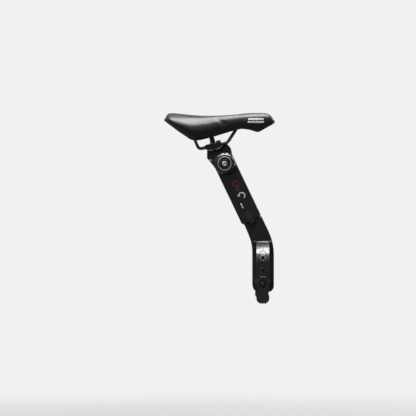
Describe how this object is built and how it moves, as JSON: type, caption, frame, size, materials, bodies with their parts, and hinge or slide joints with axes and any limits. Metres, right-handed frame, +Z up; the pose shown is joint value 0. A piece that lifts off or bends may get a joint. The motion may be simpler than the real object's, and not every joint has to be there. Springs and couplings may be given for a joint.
{
  "type": "front-mounted child bicycle seat",
  "caption": "Child's saddle with foot pegs that clamps over a bicycle's top tube: railed saddle on a pivoting head, dial-set arms, sliding legs and strapped pegs.",
  "frame": {"origin": "centre of the rubber face that rests on the bicycle's top tube", "axes": "+X forward along the bicycle, +Y to the rider's left, +Z up"},
  "size_m": [0.237, 0.2738, 0.4122],
  "materials": {
    "moulded_plastic": "fine moulded grain, satin",
    "gloss_plastic": "smooth, semi-gloss",
    "rubber": "dull soft rubber",
    "saddle_cover": "satin synthetic leather over foam",
    "black_steel": "black coated steel",
    "bright_steel": "bright zinc plate",
    "black_alloy": "black anodised"
  },
  "bodies": {
    "head": {"head_core": "moulded_plastic", "head_pin": "bright_steel", "hub_bush_right": "moulded_plastic", "hub_bush_left": "moulded_plastic", "top_tube_pad": "rubber"},
    "cradle": {"rail_cradle": "black_alloy", "rail_clamp_plate": "black_alloy", "clamp_washer": "black_steel", "clamp_bolt": "black_steel", "clamp_nut": "black_steel", "clamp_screw": "black_steel"},
    "saddle": {"saddle_pad": "saddle_cover", "saddle_shell": "moulded_plastic", "rail_right": "black_steel", "rail_left": "black_steel"},
    "hub": {"hub_tube": "bright_steel"},
    "arm_right": {"arm_sleeve_right": "moulded_plastic", "frame_pad_right": "rubber", "latch_pin_right": "bright_steel", "latch_spring_right": "bright_steel"},
    "latch_right": {"latch_right": "gloss_plastic"},
    "leg_right": {"leg_right": "moulded_plastic", "foot_peg_right": "moulded_plastic", "peg_grip_right": "rubber", "peg_bolt_front_right": "black_steel", "peg_bolt_rear_right": "black_steel", "strap_pin_right": "black_steel", "strap_button_right": "black_steel"},
    "strap_right": {"foot_strap_right": "rubber"},
    "arm_left": {"arm_sleeve_left": "moulded_plastic", "frame_pad_left": "rubber", "latch_pin_left": "bright_steel", "latch_spring_left": "bright_steel", "spindle": "bright_steel", "spindle_cap": "moulded_plastic"},
    "latch_left": {"latch_left": "gloss_plastic"},
    "leg_left": {"leg_left": "moulded_plastic", "foot_peg_left": "moulded_plastic", "peg_grip_left": "rubber", "peg_bolt_front_left": "black_steel", "peg_bolt_rear_left": "black_steel", "strap_pin_left": "black_steel", "strap_button_left": "black_steel"},
    "strap_left": {"foot_strap_left": "rubber"},
    "dial": {"dial": "gloss_plastic", "dial_screw": "bright_steel"}
  },
  "joints": [
    {"name": "saddle_tilt", "type": "hinge", "parent": "head", "child": "cradle", "pos_m": [-0.03893, 0, 0.08022], "axis": [0, 1, 0], "range_deg": [-8, 8]},
    {"name": "saddle_slide", "type": "slide", "parent": "cradle", "child": "saddle", "axis": [0.9763, 0, 0.2164], "range_m": [-0.007, 0.007]},
    {"name": "arm_angle", "type": "hinge", "parent": "head", "child": "hub", "pos_m": [-0.00803, 0, 0.01147], "axis": [0, 1, 0], "range_deg": [-20, 20]},
    {"name": "arm_slide_right", "type": "slide", "parent": "hub", "child": "arm_right", "axis": [0, -1, 0], "range_m": [-0.0028, 0.006]},
    {"name": "arm_slide_left", "type": "slide", "parent": "hub", "child": "arm_left", "axis": [0, 1, 0], "range_m": [-0.0028, 0.006]},
    {"name": "dial_turn", "type": "hinge", "parent": "arm_right", "child": "dial", "pos_m": [-0.00803, -0.07, 0.01147], "axis": [0, -1, 0], "range_deg": [-252.1, 540.1]},
    {"name": "latch_lift_right", "type": "hinge", "parent": "arm_right", "child": "latch_right", "pos_m": [0.04191, -0.059, -0.09323], "axis": [-0.9026, 0, -0.4305], "range_deg": [0, 8], "stiffness_Nm_per_rad": 0.05, "springref_deg": -5.73},
    {"name": "leg_extend_right", "type": "slide", "parent": "arm_right", "child": "leg_right", "axis": [0.4305, 0, -0.9026], "range_m": [0, 0.055]},
    {"name": "strap_open_right", "type": "hinge", "parent": "leg_right", "child": "strap_right", "pos_m": [0.07427, -0.0623, -0.16053], "axis": [-1, 0, 0], "range_deg": [0, 70]},
    {"name": "latch_lift_left", "type": "hinge", "parent": "arm_left", "child": "latch_left", "pos_m": [0.04191, 0.059, -0.09323], "axis": [0.9026, 0, 0.4305], "range_deg": [0, 8], "stiffness_Nm_per_rad": 0.05, "springref_deg": -5.73},
    {"name": "leg_extend_left", "type": "slide", "parent": "arm_left", "child": "leg_left", "axis": [0.4305, 0, -0.9026], "range_m": [0, 0.055]},
    {"name": "strap_open_left", "type": "hinge", "parent": "leg_left", "child": "strap_left", "pos_m": [0.07427, 0.0623, -0.16053], "axis": [1, 0, 0], "range_deg": [0, 70]}
  ],
  "couplings": [
    {"joint": "arm_slide_left", "follows": "arm_slide_right", "ratio": 1},
    {"joint": "dial_turn", "follows": "arm_slide_right", "rad_per_m": 1570.8}
  ]
}
